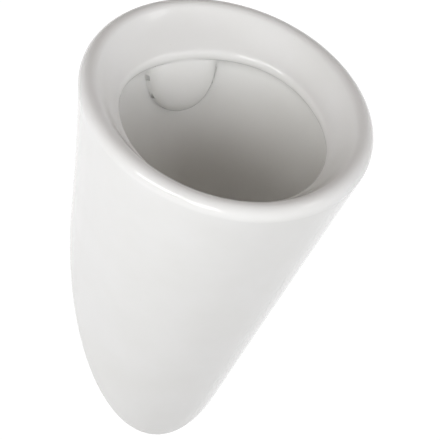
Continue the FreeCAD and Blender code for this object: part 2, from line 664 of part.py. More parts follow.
def build():
    return {
        "ceramic_body": ceramic_body(),
        "hanger_studs": both_studs(hanger_stud),
        "wall_plugs": both_studs(wall_plug),
        "hanger_sleeves": both_studs(hanger_sleeve),
        "hanger_washers": both_studs(hanger_washer),
        "hanger_nuts": both_studs(hanger_nut),
        "inlet_nipple": inlet_nipple(),
        "inlet_seal": inlet_seal(),
        "inlet_washer": inlet_washer(),
        "inlet_lock_nut": inlet_lock_nut(),
        "flush_nozzle": flush_nozzle(),
        "strainer_grate": strainer_grate(),
        "strainer_ring": strainer_ring(),
        "strainer_screw": strainer_screw(),
        "strainer_clip": strainer_clip(),
        "siphon_head": siphon_head(),
        "siphon_dip_tube": siphon_dip_tube(),
        "dip_tube_o_ring": dip_tube_o_ring(),
        "siphon_cup": siphon_cup(),
        "siphon_cup_seal": siphon_cup_seal(),
        "siphon_inlet_sleeve": siphon_inlet_sleeve(),
    }


def main():
    os.makedirs("parts", exist_ok=True)
    for name, shape in build().items():
        shape.exportStep("parts/" + name + ".step")
        print(name, len(shape.Solids), "solid(s)", round(shape.Volume), "mm3", shape.isValid())


main()
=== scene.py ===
# %% [markdown]
# # A wall hung urinal in glazed vitreous china
# The real one is cast in one piece: liquid clay is poured into a plaster mould, dried, sprayed with
# glaze and fired. Everything else on it is small and hidden: two hanger studs, a flush inlet, a
# strainer and a bottle trap behind the bowl.
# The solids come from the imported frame. This script gives them their finishes, and it puts finer
# meshes where the glaze or a thread needs them.

# %% The frame
import json
import math
import bmesh
import bpy
import numpy as np
from mathutils import Matrix, Vector


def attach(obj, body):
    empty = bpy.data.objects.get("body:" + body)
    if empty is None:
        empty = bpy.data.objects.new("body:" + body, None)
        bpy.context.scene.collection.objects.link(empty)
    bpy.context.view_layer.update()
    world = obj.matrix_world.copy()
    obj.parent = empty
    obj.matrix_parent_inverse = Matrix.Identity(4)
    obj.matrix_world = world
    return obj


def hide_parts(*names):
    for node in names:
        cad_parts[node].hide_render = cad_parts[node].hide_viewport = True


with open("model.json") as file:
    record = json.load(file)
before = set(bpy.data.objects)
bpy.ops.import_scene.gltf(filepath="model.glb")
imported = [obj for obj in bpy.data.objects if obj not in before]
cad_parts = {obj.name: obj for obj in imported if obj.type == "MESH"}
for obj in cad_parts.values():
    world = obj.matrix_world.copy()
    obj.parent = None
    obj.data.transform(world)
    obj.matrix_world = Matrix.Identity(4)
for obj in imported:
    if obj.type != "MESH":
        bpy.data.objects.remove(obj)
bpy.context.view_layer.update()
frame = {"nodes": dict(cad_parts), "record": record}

nodes = frame["nodes"]

# %% [markdown]
# ## Colour and nodes
# Paint and glaze colours are written the way a colour card gives them, as sRGB hex. Shaders work in
# linear light, so one function turns a hex value into linear numbers. A second small function adds
# a shader node, sets it and links it, which keeps every material below a short list.

# %% Colour and node helpers
def linear(hex_colour):
    """An sRGB hex colour as linear RGBA."""
    channels = [int(hex_colour[i:i + 2], 16) / 255 for i in (0, 2, 4)]
    return [c / 12.92 if c <= 0.04045 else ((c + 0.055) / 1.055) ** 2.4 for c in channels] + [1.0]


def add(material, kind, links=(), **settings):
    """Adds one node; settings fill its options and sockets, links are (socket, source socket)."""
    tree = material.node_tree
    node = tree.nodes.new("ShaderNode" + kind)
    for name, value in settings.items():
        socket = name.replace("_", " ")
        if hasattr(node, name):
            setattr(node, name, value)
        else:
            node.inputs[socket].default_value = value
    for target, source in links:
        tree.links.new(source, node.inputs[target])
    return node


print("white as #F4F4F1 is", [round(c, 3) for c in linear("F4F4F1")])

# %% [markdown]
# ## Camera
# A fit to the basin's outline and opening puts the photograph's camera at the front left, above the
# rim, with a long lens. The three angles below come from it. The distance goes with the size that
# was estimated for the basin.

# %% The camera
AZIMUTH, ELEVATION, ROLL = math.radians(-21.815), math.radians(22.573), math.radians(1.253)
TARGET = Vector((0.0, -0.1525, 0.0070))   # a point inside the bowl, in metres
DISTANCE = 3.355
LENS_MM, SENSOR_MM = 257.9, 36
LEFT_SHIFT, UP_SHIFT = 0.0029, 0.0174     # how far the basin moves in the picture, in metres

back = Vector((math.sin(AZIMUTH) * math.cos(ELEVATION), -math.cos(AZIMUTH) * math.cos(ELEVATION),
               math.sin(ELEVATION)))
level = Vector((math.cos(AZIMUTH), math.sin(AZIMUTH), 0))
upright = back.cross(level)
right = level * math.cos(ROLL) + upright * math.sin(ROLL)
up = upright * math.cos(ROLL) - level * math.sin(ROLL)

camera = bpy.data.objects.new("camera", bpy.data.cameras.new("camera"))
camera.data.lens = LENS_MM
camera.data.sensor_width = SENSOR_MM
camera.data.clip_end = 50
camera.matrix_world = Matrix((right, up, back)).transposed().to_4x4()
camera.location = TARGET + right * LEFT_SHIFT - up * UP_SHIFT + back * DISTANCE
bpy.context.scene.collection.objects.link(camera)
bpy.context.scene.camera = camera
bpy.context.scene.view_settings.view_transform = "Standard"
print("camera at", [round(c, 3) for c in camera.location])

# %% [markdown]
# ## Glazed and bare vitreous china
# Vitreous china is clay fired until it is glass-hard, under a white glaze about half a millimetre
# thick. It could be one flat white with a clear coat. The real surface is not flat, though: the
# sprayed glaze flows a little before it sets, which leaves waves of 60 and 12 mm that bend the
# reflections, faint clouds in the white and a rare dark speck. Where the casting stood in the kiln
# and inside its hollow back there is no glaze, and the clay is cream, dull and grainy.
# Patterns use object coordinates, which are metres here, so a pattern of 12 mm has a scale of
# 1 / 0.012.

# %% China
def per_mm(size):
    """Texture scale for a pattern whose features are size millimetres wide."""
    return 1000 / size


def new_material(name, colour, roughness, **sockets):
    """A material with its shader and its object coordinates."""
    made = bpy.data.materials.new(name)
    made.use_nodes = True
    shader = made.node_tree.nodes["Principled BSDF"]
    shader.inputs["Base Color"].default_value = linear(colour)
    shader.inputs["Roughness"].default_value = roughness
    for socket, value in sockets.items():
        shader.inputs[socket.replace("_", " ")].default_value = value
    place = add(made, "TexCoord").outputs["Object"]
    return made, shader, place


def glazed_china(name, colour, cloud_colour):
    """White glaze: clouds in the colour, flow waves in the surface, a rare speck."""
    made, shader, place = new_material(name, colour, 0.04, IOR=1.52)
    links = made.node_tree.links
    clouds = add(made, "TexNoise", [("Vector", place)], Scale=per_mm(70), Detail=3.0, Roughness=0.5)
    share = add(made, "MapRange", [("Value", clouds.outputs["Fac"])],
                **{"From_Min": 0.35, "From_Max": 0.75, "To_Min": 0.0, "To_Max": 1.0})
    body = add(made, "MixRGB", [("Fac", share.outputs["Result"])],
               Color1=linear(colour), Color2=linear(cloud_colour))
    # a speck is full to 0.2 mm from its centre and gone by 0.4 mm; some cells of 14 mm have one
    cells = add(made, "TexVoronoi", [("Vector", place)], Scale=per_mm(14), Randomness=1.0)
    speck = add(made, "MapRange", [("Value", cells.outputs["Distance"])],
                **{"From_Min": 0.015, "From_Max": 0.03, "To_Min": 0.35, "To_Max": 0.0})
    rare = add(made, "Math", [("Value", cells.outputs["Color"])], operation="GREATER_THAN")
    rare.inputs[1].default_value = 0.62
    both = add(made, "Math", [(0, speck.outputs["Result"]), (1, rare.outputs["Value"])],
               operation="MULTIPLY")
    speckled = add(made, "MixRGB",
                   [("Fac", both.outputs["Value"]), ("Color1", body.outputs["Color"])],
                   Color2=linear("A79A86"))
    links.new(speckled.outputs["Color"], shader.inputs["Base Color"])
    sheen = add(made, "TexNoise", [("Vector", place)], Scale=per_mm(20), Detail=3.0)
    gloss = add(made, "MapRange", [("Value", sheen.outputs["Fac"])],
                **{"From_Min": 0.3, "From_Max": 0.7, "To_Min": 0.03, "To_Max": 0.05})
    links.new(gloss.outputs["Result"], shader.inputs["Roughness"])
    long_wave = add(made, "TexNoise", [("Vector", place)], Scale=per_mm(60), Detail=0.0)
    flow = add(made, "Bump", [("Height", long_wave.outputs["Fac"])], Strength=1.0, Distance=0.00008)
    short_wave = add(made, "TexNoise", [("Vector", place)], Scale=per_mm(12), Detail=1.0)
    peel = add(made, "Bump",
               [("Height", short_wave.outputs["Fac"]), ("Normal", flow.outputs["Normal"])],
               Strength=1.0, Distance=0.000012)
    links.new(peel.outputs["Normal"], shader.inputs["Normal"])
    return made


glaze = glazed_china("glazed_vitreous_china", "EFEFEC", "ECECE8")

bare_china, shader, place = new_material("unglazed_vitreous_china", "E6E0D2", 0.8)
# the clay's real grain is finer; it is drawn 0.9 mm wide, about a pixel here, so that it shows
grain = add(bare_china, "TexNoise", [("Vector", place)],
            Scale=per_mm(0.9), Detail=5.0, Roughness=0.7)
stain = add(bare_china, "TexNoise", [("Vector", place)],
            Scale=per_mm(38), Detail=5.0, Roughness=0.65)
blend = add(bare_china, "MixRGB", [("Fac", stain.outputs["Fac"])],
            Color1=linear("EAE5D9"), Color2=linear("D9D0BD"))
bumped = add(bare_china, "Bump", [("Height", grain.outputs["Fac"])], Strength=0.7, Distance=0.0003)
bare_china.node_tree.links.new(blend.outputs["Color"], shader.inputs["Base Color"])
bare_china.node_tree.links.new(bumped.outputs["Normal"], shader.inputs["Normal"])
print("china:", glaze.name, "and", bare_china.name)

# %% [markdown]
# ## Metals
# The fixings are bright zinc-plated steel, the inlet is turned brass, the strainer and the spreader
# are chromed brass and the clip is spring steel. A bare metal mirrors the room in its own colour,
# so what tells them apart is that colour, how blurred the mirror is, and the marks left by the way
# they were made: zinc has a faint blue and yellow cloud from its bath, a lathe leaves fine rings
# round the axis, rolled strip has a long grain, and polished chrome has only hairlines. Real marks
# are finer. They are drawn 0.3 to 0.8 mm wide, so that they show.

# %% Metals
def metal(name, colour, tint, roughness, cloud_mm, mark_mm, marks, mark_depth):
    """Bare metal: a tinted cloud, a rough patchiness, and marks stretched by marks (x, y, z)."""
    made, shader, place = new_material(name, colour, roughness, Metallic=1.0)
    links = made.node_tree.links
    cloud = add(made, "TexNoise", [("Vector", place)], Scale=per_mm(cloud_mm), Detail=4.0)
    shade = add(made, "MixRGB", [("Fac", cloud.outputs["Fac"])],
                Color1=linear(colour), Color2=linear(tint))
    links.new(shade.outputs["Color"], shader.inputs["Base Color"])
    stretched = add(made, "Mapping", [("Vector", place)], Scale=marks)
    mark = add(made, "TexNoise", [("Vector", stretched.outputs["Vector"])],
               Scale=per_mm(mark_mm), Detail=3.0)
    dull = add(made, "MapRange", [("Value", mark.outputs["Fac"])],
               **{"From_Min": 0.3, "From_Max": 0.7,
                  "To_Min": roughness * 0.75, "To_Max": roughness * 1.35})
    links.new(dull.outputs["Result"], shader.inputs["Roughness"])
    line = add(made, "Bump", [("Height", mark.outputs["Fac"])], Strength=0.6, Distance=mark_depth)
    links.new(line.outputs["Normal"], shader.inputs["Normal"])
    return made


zinc = metal("zinc_plated_steel", "C3C7CA", "C9C4AE", 0.3, 6, 0.8, (1, 1, 1), 0.00002)
brass = metal("turned_brass", "D1AE62", "C39A4B", 0.22, 9, 0.5, (0.12, 1.6, 0.12), 0.00001)
chrome = metal("polished_chrome", "DCDEDF", "D2D5D8", 0.07, 12, 0.7, (1, 0.1, 0.4), 0.000002)
spring_steel = metal("spring_steel_strip", "A9ABAD", "9A9A98", 0.26, 7, 0.4, (0.08, 1, 1), 0.000008)
print("metals:", zinc.name, brass.name, chrome.name, spring_steel.name)

# %% [markdown]
# ## Plastics and rubber
# The trap is white polypropylene, the wall plugs are grey nylon and the sleeves on the studs are
# white nylon. All are injection moulded in spark-eroded steel, which leaves a fine satin grain, and
# the melt leaves faint flow clouds. Rubber seals are moulded too, but dull, with a bloom of pale
# dust. White polypropylene and white nylon let a little light in, which softens their shadows. The
# real grain is finer, and is drawn 0.35 to 0.5 mm wide so that it shows.

# %% Plastics and rubber
def moulded(name, colour, bloom, roughness, grain_mm, depth, inside=0.0):
    """Moulded plastic or rubber: flow clouds, a fine grain, and a little light inside."""
    made, shader, place = new_material(name, colour, roughness, Subsurface_Weight=inside,
                                       Subsurface_Radius=(0.004, 0.0035, 0.003), IOR=1.49)
    links = made.node_tree.links
    flow = add(made, "TexNoise", [("Vector", place)],
               Scale=per_mm(16), Detail=5.0, Distortion=0.8)
    shade = add(made, "MixRGB", [("Fac", flow.outputs["Fac"])],
                Color1=linear(colour), Color2=linear(bloom))
    links.new(shade.outputs["Color"], shader.inputs["Base Color"])
    patch = add(made, "MapRange", [("Value", flow.outputs["Fac"])],
                **{"From_Min": 0.3, "From_Max": 0.7,
                   "To_Min": roughness * 0.85, "To_Max": roughness * 1.2})
    links.new(patch.outputs["Result"], shader.inputs["Roughness"])
    grain = add(made, "TexNoise", [("Vector", place)], Scale=per_mm(grain_mm), Detail=2.0)
    satin = add(made, "Bump", [("Height", grain.outputs["Fac"])], Strength=0.5, Distance=depth)
    links.new(satin.outputs["Normal"], shader.inputs["Normal"])
    return made


polypropylene = moulded("moulded_polypropylene", "EDEDEA", "E4E3DD", 0.36, 0.5, 0.00002, 0.12)
white_nylon = moulded("moulded_white_nylon", "E6E3DA", "DCD8CB", 0.42, 0.4, 0.00002, 0.12)
grey_nylon = moulded("moulded_grey_nylon", "6A6D70", "5D6063", 0.5, 0.5, 0.00003)
rubber = moulded("moulded_black_rubber", "1D1D1E", "333230", 0.68, 0.35, 0.00004)

FINISHES = {"glazed_ceramic": glaze, "zinc_steel": zinc, "brass": brass, "chrome": chrome,
            "spring_steel": spring_steel, "white_polypropylene": polypropylene,
            "white_nylon": white_nylon, "grey_nylon": grey_nylon, "black_rubber": rubber}
print("plastics:", polypropylene.name, white_nylon.name, grey_nylon.name, rubber.name)

# %% [markdown]
# ## Building meshes from rings
# A cast basin has no straight edges: each level of it is an oval. So the casting is a stack of
# rings. One ring is four conic quarters, which can be plain ellipses or a little squarer at the
# back. All rings share the same number of points, and a face is laid between neighbours.
# Everything is worked out in millimetres and turned to metres when the mesh is made.

# %% Rings
MM = 0.001
FRONT_POINTS = 64      # in each front quarter
BACK_POINTS = 96       # in each back quarter, closer because the flush hood stands there
ELLIPSE = math.sqrt(0.5)
SHARP_DEGREES = 40     # an edge sharper than this stays crisp
X, Y, Z = np.eye(3)


def quarter(count, weight):
    """A conic quarter from (1, 0) towards (0, 1), without its end point."""
    t = np.arange(count) / count
    side = 2 * t * (1 - t) * weight
    total = (1 - t) ** 2 + side + t ** 2
    return ((1 - t) ** 2 + side) / total, (side + t ** 2) / total


def unit_oval(back_weight=ELLIPSE):
    """Across and along, from the right through the front, the left and the back."""
    a, b = quarter(FRONT_POINTS, ELLIPSE)
    e, f = quarter(FRONT_POINTS, ELLIPSE)
    c, d = quarter(BACK_POINTS, back_weight)
    across = np.concatenate([a, -f, -c, d])
    along = np.concatenate([b, e, -d, -c])
    return across, along


def ring(centre, half_width, front, back_length, along, back_weight=ELLIPSE):
    """A ring round centre: half_width across, front and back_length each way along a direction."""
    across, forward = unit_oval(back_weight)
    reach = np.where(forward > 0, front, back_length) * forward
    return centre + np.outer(across * half_width, X) + np.outer(reach, along)


def piece(name, vertices, faces, materials, smooth=SHARP_DEGREES):
    """A mesh object from millimetre points; edges sharper than smooth degrees stay crisp."""
    mesh = bpy.data.meshes.new(name)
    mesh.from_pydata((np.asarray(vertices) * MM).tolist(), [], faces)
    shape = bmesh.new()
    shape.from_mesh(mesh)
    bmesh.ops.recalc_face_normals(shape, faces=shape.faces)
    shape.to_mesh(mesh)
    shape.free()
    for material in materials:
        mesh.materials.append(material)
    mesh.polygons.foreach_set("use_smooth", [True] * len(mesh.polygons))
    mesh.set_sharp_from_angle(angle=math.radians(smooth))
    made = bpy.data.objects.new(name, mesh)
    bpy.context.scene.collection.objects.link(made)
    return made


def skin(rings):
    """Vertices and faces of a closed stack of rings; its first and last rings are filled."""
    count = len(rings[0])
    faces = []
    for i in range(len(rings) - 1):
        low, high = i * count, (i + 1) * count
        for j in range(count):
            k = (j + 1) % count
            faces.append((low + j, low + k, high + k, high + j))
    faces.append(tuple(reversed(range(count))))
    faces.append(tuple(range((len(rings) - 1) * count, len(rings) * count)))
    return np.concatenate(rings), faces


print("points in a ring:", len(unit_oval()[0]))

# %% [markdown]
# ## The casting
# The glaze mirrors the room, so every facet or kink in the surface would show as a broken
# highlight. The solid in the frame has triangles that are too large for that, so the casting is
# laid again as about three hundred profiles side by side. Each profile runs from the edge on the
# wall, up the skirt, over the rim's outer roll, down the sloping band, round the lip and down the
# bowl into the well. Its main sizes are the solid's. The hood with its slots and chamber, the lip's
# underside, the band's hollow and the line where the skirt leaves the roll differ from the solid's.

# %% Sizes of the casting, in millimetres
RIM_TILT = math.radians(19.5)
ROLL_R, LIP_R = 11.5, 9.0
ROLL_HALF_WIDTH, ROLL_HALF_DEPTH, ROLL_BACK_Z, RIM_CENTRE_Y = 141.0, 158.5, 178.5, -170.0
LIP_FORWARD, LIP_DROP = 3.0, 24.7      # rim's centre to the lip's: in the rim's plane, below it
ROLL_HALF_LENGTH = ROLL_HALF_DEPTH / math.cos(RIM_TILT)
RIM_RISE = ROLL_HALF_LENGTH * math.sin(RIM_TILT)
RIM_CENTRE = np.array([0.0, RIM_CENTRE_Y, ROLL_BACK_Z - RIM_RISE])
FORWARD = np.array([0.0, -math.cos(RIM_TILT), -math.sin(RIM_TILT)])
RIM_UP = np.array([0.0, -math.sin(RIM_TILT), math.cos(RIM_TILT)])
LIP_CENTRE = RIM_CENTRE + FORWARD * LIP_FORWARD - RIM_UP * LIP_DROP
OPENING_HALF_WIDTH, OPENING_FRONT, OPENING_BACK, OPENING_SQUARE = 106.5, 127.0, 119.0, 0.89
WALL_TOP_Z, TIP_Z, WALL_HALF_WIDTH = 165.0, -340.0, 114.0
EDGE_ROUND = 6.0       # round edge where the skirt meets the wall
SUMP = np.array([0.0, -98.0, -138.0])
SUMP_R, WELL_R, WELL_FLOOR_Z, WELL_ROUND = 28.0, 20.0, -192.0, 8.0
BOWL_HALF_WIDTH, BOWL_HALF_LENGTH, SIDE_BULGE, FRONT_DRAW = 116.5, 140.0, 14.0, 5.0
HOOD_Z, HOOD_HALF_WIDTH, HOOD_DROP, HOOD_RISE = 128.0, 42.5, 58.0, 12.0
HOOD_ROOT_Y, HOOD_FRONT_Y, HOOD_SQUARE, HOOD_FULLNESS = -22.0, -50.0, 0.78, 4.0
HOOD_BLEND = 2.5       # the slip rounds the corner between hood and bowl by about this much


def wall_oval(inset=0.0):
    """The outline that meets the wall, drawn in by inset."""
    half_height = (WALL_TOP_Z - TIP_Z) / 2
    centre = np.array([0, 0, TIP_Z + half_height])
    return ring(centre, WALL_HALF_WIDTH - inset, half_height - inset, half_height - inset, -Z)


def bowl_oval(depth, wall=0.0):
    """The bowl's section at a share of its depth; wall grows it for the bowl's outside."""
    top = LIP_CENTRE - RIM_UP * LIP_R
    front, rear = top + FORWARD * BOWL_HALF_LENGTH, top - FORWARD * BOWL_HALF_LENGTH
    taper = SUMP - Y * SUMP_R - front
    square_to = np.array([0, -taper[2], taper[1]]) / np.linalg.norm(taper)
    hump = 4 * depth * (1 - depth)
    front = front + taper * depth - square_to * hump * FRONT_DRAW
    low = SUMP + Y * SUMP_R
    rear = np.array([0, rear[1] + (low[1] - rear[1]) * depth ** 3,
                     rear[2] + (low[2] - rear[2]) * depth])
    half_width = BOWL_HALF_WIDTH + (SUMP_R - BOWL_HALF_WIDTH) * depth + SIDE_BULGE * hump
    half_length = np.linalg.norm(front - rear) / 2
    along = (front - rear) / np.linalg.norm(front - rear)
    return ring((front + rear) / 2, half_width + wall,
                half_length + wall, half_length + wall, along)


print("outer roll's centre line from z", round(RIM_CENTRE[2] - RIM_RISE, 1), "to",
      round(RIM_CENTRE[2] + RIM_RISE, 1), "mm")

# %% [markdown]
# ### Rolls and the band between them
# The rim is two rolls of clay with a sloping band between them. Seen along the rim's edge each roll
# is a circle, and the band is a line from one to the other, a little hollow. The skirt is a
# straight line that just touches the outer roll. Where it touches changes round the rim, so that is
# worked out for every profile by itself, by halving.

# %% Rolls, band and lip
HALVINGS = 30
LOWEST_LEAVING, HIGHEST_LEAVING = -70, 40     # degrees round the roll, for the skirt

across, along = unit_oval()
lip_across, lip_along = unit_oval(OPENING_SQUARE)
roll_line = (RIM_CENTRE + np.outer(across * ROLL_HALF_WIDTH, X)
             + np.outer(along * ROLL_HALF_LENGTH, FORWARD))
lip_reach = np.where(lip_along > 0, OPENING_FRONT, OPENING_BACK) + LIP_R
lip_line = (LIP_CENTRE + np.outer(lip_across * (OPENING_HALF_WIDTH + LIP_R), X)
            + np.outer(lip_along * lip_reach, FORWARD))
outward = np.outer(across, X) + np.outer(along, FORWARD)
lip_outward = np.outer(lip_across, X) + np.outer(lip_along, FORWARD)


def round_roll(line, out, radius, angle):
    """Points on a roll; the angle may differ from profile to profile."""
    angle = np.broadcast_to(angle, len(line))[:, None]
    return line + radius * (np.cos(angle) * out + np.sin(angle) * RIM_UP)


def travel(out, angle):
    """The way a profile runs at that angle round a roll."""
    angle = np.broadcast_to(angle, len(out))[:, None]
    return -np.sin(angle) * out + np.cos(angle) * RIM_UP


def unit(vectors):
    """Rows of vectors, each brought to length 1."""
    return vectors / np.linalg.norm(vectors, axis=1)[:, None]


def square_to_roll(line, out, radius, angle):
    """Outward normal of a roll, from its travel and its neighbours."""
    points = round_roll(line, out, radius, angle)
    round_ring = np.roll(points, -1, axis=0) - np.roll(points, 1, axis=0)
    normal = unit(np.cross(round_ring, travel(out, angle)))
    return normal * np.sign(np.einsum("ij,ij->i", normal, points - line))[:, None]


def touching(line, out, radius, target, low, high):
    """Angle, between low and high degrees, at which straight lines to target leave a roll."""
    low, high = np.full(len(line), math.radians(low)), np.full(len(line), math.radians(high))
    for _ in range(HALVINGS):
        middle = (low + high) / 2
        points = round_roll(line, out, radius, middle)
        over = np.einsum("ij,ij->i", target - points, square_to_roll(line, out, radius, middle)) > 0
        low, high = np.where(over, middle, low), np.where(over, high, middle)
    return (low + high) / 2


def between(start, start_way, end, end_way, count):
    """Rows of a smooth curve from start to end, without its two ends."""
    length = np.linalg.norm(end - start, axis=1)[:, None]
    rows = []
    for t in np.linspace(0, 1, count + 2)[1:-1]:
        rows.append((2 * t ** 3 - 3 * t ** 2 + 1) * start
                    + (t ** 3 - 2 * t ** 2 + t) * length * start_way
                    + (3 * t ** 2 - 2 * t ** 3) * end + (t ** 3 - t ** 2) * length * end_way)
    return rows


wall_edge = wall_oval()
skirt_angle = touching(roll_line, outward, ROLL_R, wall_edge, LOWEST_LEAVING, HIGHEST_LEAVING)
print("the skirt leaves the roll at", np.degrees(skirt_angle).min().round(1), "to",
      np.degrees(skirt_angle).max().round(1), "degrees")

# %% [markdown]
# ### Profile rows
# Every profile now gets its rows of points: a small round edge at the wall, the straight skirt, the
# outer roll, the hollow band and the lip. Where two forms meet, the rows of the second start in the
# direction in which the first one ends, because glaze shows any break in that direction.

# %% Rows from the wall to the lip
SKIRT_ROWS, ROLL_ROWS, BAND_ROWS, LIP_ROWS, EDGE_ROWS = 20, 26, 12, 18, 6
BAND_TURN = math.radians(128)     # where the band would leave both rolls if it were flat
BAND_HOLLOW = math.radians(5)     # both rolls turn on by this much, which hollows the band
LIP_UNDER = math.radians(195)     # from here down a row can meet the hood
LIP_END = math.radians(240)       # here the lip's underside turns into the bowl
EDGE_SHARE = 0.4                  # the round edge takes at most this share of a short skirt

roll_foot = round_roll(roll_line, outward, ROLL_R, skirt_angle)
skirt_length = np.linalg.norm(roll_foot - wall_edge, axis=1)[:, None]
edge_share = np.minimum(EDGE_ROUND / skirt_length, EDGE_SHARE)
skirt_foot = wall_edge + (roll_foot - wall_edge) * edge_share
wall_flat = wall_oval(EDGE_ROUND)
rows = []
for t in np.linspace(0, 1, EDGE_ROWS):
    rows.append((1 - t) ** 2 * wall_flat + 2 * t * (1 - t) * wall_edge + t ** 2 * skirt_foot)
for t in np.linspace(0, 1, SKIRT_ROWS)[1:]:
    rows.append(skirt_foot + (roll_foot - skirt_foot) * t)
for t in np.linspace(0, 1, ROLL_ROWS)[1:]:
    angle = skirt_angle + (BAND_TURN + BAND_HOLLOW - skirt_angle) * t
    rows.append(round_roll(roll_line, outward, ROLL_R, angle))
lip_top = round_roll(lip_line, lip_outward, LIP_R, BAND_TURN - BAND_HOLLOW)
rows += between(rows[-1], travel(outward, BAND_TURN + BAND_HOLLOW), lip_top,
                travel(lip_outward, BAND_TURN - BAND_HOLLOW), BAND_ROWS)
for angle in np.linspace(BAND_TURN - BAND_HOLLOW, LIP_UNDER, LIP_ROWS):
    rows.append(round_roll(lip_line, lip_outward, LIP_R, angle))
print(len(rows), "rows of", len(rows[0]), "points down to the lip")

# %% [markdown]
# ### Bowl and flush hood
# Below the lip the bowl narrows to the sump, and at the back a shield-shaped hood stands out of its
# wall and hides the water inlet. In the mould the two are one surface, and slip and glaze leave a
# soft corner between them. So each back profile is pulled forward to the hood by a smooth minimum,
# and its points are then spread evenly again along its new length.

# %% Bowl with the flush hood
BOWL_START = 0.06      # share of the depth where the lip's underside runs into the bowl wall
HOOD_END = 0.46        # share of the depth below the hood
BOWL_STEP = 0.01       # a small step down the bowl, for the direction in which it starts
TURN_ROWS, FINE_ROWS, HOOD_ROWS, BOWL_ROWS = 40, 260, 66, 44
BACK_MIDDLE = 2 * FRONT_POINTS + BACK_POINTS     # number of the profile at the middle of the back


def hood_front(points):
    """The y of the hood's surface over each point, or its root outside the hood."""
    below = points[:, 2] < HOOD_Z
    p = np.abs(points[:, 0]) / HOOD_HALF_WIDTH
    q = np.abs(points[:, 2] - HOOD_Z) / np.where(below, HOOD_DROP, HOOD_RISE)
    w = HOOD_SQUARE     # the lower outline is a conic; its size at (p, q) solves a quadratic
    total, product = p + q, p * q
    a = 1 - 4 * w * w
    b = total * (4 * w * w - 2)
    c = total ** 2 - 4 * w * w * product
    squarer = (-b - np.sqrt(np.maximum(b * b - 4 * a * c, 0))) / (2 * a)
    size = np.where(below, squarer, np.hypot(p, q))
    dome = np.maximum(1 - np.minimum(size, 1) ** HOOD_FULLNESS, 0) ** (1 / HOOD_FULLNESS)
    return HOOD_ROOT_Y + (HOOD_FRONT_Y - HOOD_ROOT_Y) * dome


def with_hood(points):
    """A row of the bowl pulled forward to the hood, with a soft corner between the two."""
    bowl_y, hood_y = points[:, 1], hood_front(points)
    mix = np.clip(0.5 + 0.5 * (bowl_y - hood_y) / HOOD_BLEND, 0, 1)
    blended = bowl_y + (hood_y - bowl_y) * mix - HOOD_BLEND * mix * (1 - mix)
    return np.stack([points[:, 0], blended, points[:, 2]], axis=1)


def spread_evenly(fine, count):
    """Rows of points evenly spaced along each profile of the fine rows."""
    steps = np.linalg.norm(np.diff(fine, axis=0), axis=2)
    run = np.concatenate([np.zeros((1, fine.shape[1])), np.cumsum(steps, axis=0)])
    even = np.empty((count, fine.shape[1], 3))
    for j in range(fine.shape[1]):
        wanted = np.linspace(0, run[-1, j], count)
        for k in range(3):
            even[:, j, k] = np.interp(wanted, run[:, j], fine[:, j, k])
    return list(even)


fine = [round_roll(lip_line, lip_outward, LIP_R, angle)
        for angle in np.linspace(LIP_UNDER, LIP_END, TURN_ROWS)]
bowl_top = bowl_oval(BOWL_START)
down = unit(bowl_oval(BOWL_START + BOWL_STEP) - bowl_top)
fine += between(fine[-1], travel(lip_outward, LIP_END), bowl_top, down, TURN_ROWS)
fine += [bowl_oval(depth) for depth in np.linspace(BOWL_START, HOOD_END, FINE_ROWS)]
hooded = spread_evenly(np.array([with_hood(row) for row in fine]), HOOD_ROWS)
rows += hooded[1:]
rows += [bowl_oval(depth) for depth in np.linspace(HOOD_END, 1, BOWL_ROWS)[1:]]
middle = [row[BACK_MIDDLE] for row in hooded if row[BACK_MIDDLE, 2] < HOOD_Z]     # under the lip
print("hood stands to y", round(min(point[1] for point in middle), 1), "mm on the middle profile")

# %% [markdown]
# ### Sump and well
# The bowl ends in a flat round sump that carries the strainer. Under it is the well, a plain round
# cup with a soft floor edge, from which the trap draws.

# %% Sump, well and the closed body
# each row's radius, and how far it lies under the sump's level
SUMP_STEPS = ((27.2, 0.15), (24, 0.15), (WELL_R + 1.0, 0.15), (WELL_R + 0.3, 0.6))
WELL_TOP_DROP, WELL_ROWS = 1.4, 12
FLOOR_TURNS = (15, 30, 45, 60, 75, 90)     # degrees round the soft edge of the well's floor
FLOOR_RADII = (8, 3, 0.8)


def round_ring(radius, z):
    """A level round ring on the sump's axis."""
    return ring(np.array([0, SUMP[1], z]), radius, radius, radius, -Y)


for radius, drop in SUMP_STEPS:
    rows.append(round_ring(radius, SUMP[2] - drop))
for z in np.linspace(SUMP[2] - WELL_TOP_DROP, WELL_FLOOR_Z + WELL_ROUND, WELL_ROWS):
    rows.append(round_ring(WELL_R, z))
for angle in np.radians(FLOOR_TURNS):
    rows.append(round_ring(WELL_R - WELL_ROUND * (1 - math.cos(angle)),
                           WELL_FLOOR_Z + WELL_ROUND * (1 - math.sin(angle))))
rows += [round_ring(radius, WELL_FLOOR_Z) for radius in FLOOR_RADII]
print(len(rows), "rows,", len(rows) * len(rows[0]), "points")

# %% [markdown]
# ### Hollow back, flush chamber and holes
# A cast basin is a shell. Behind the bowl it is open, so that the trap fits in, with a back plate
# above that hangs on the studs by two keyholes. These hollows are cut with booleans, from closed
# bodies that are made in the same way as the casting itself. They need fewer points, since nothing
# is mirrored there. The manifold solver cuts them: it needs closed bodies, which these are, and
# less memory than the exact solver.

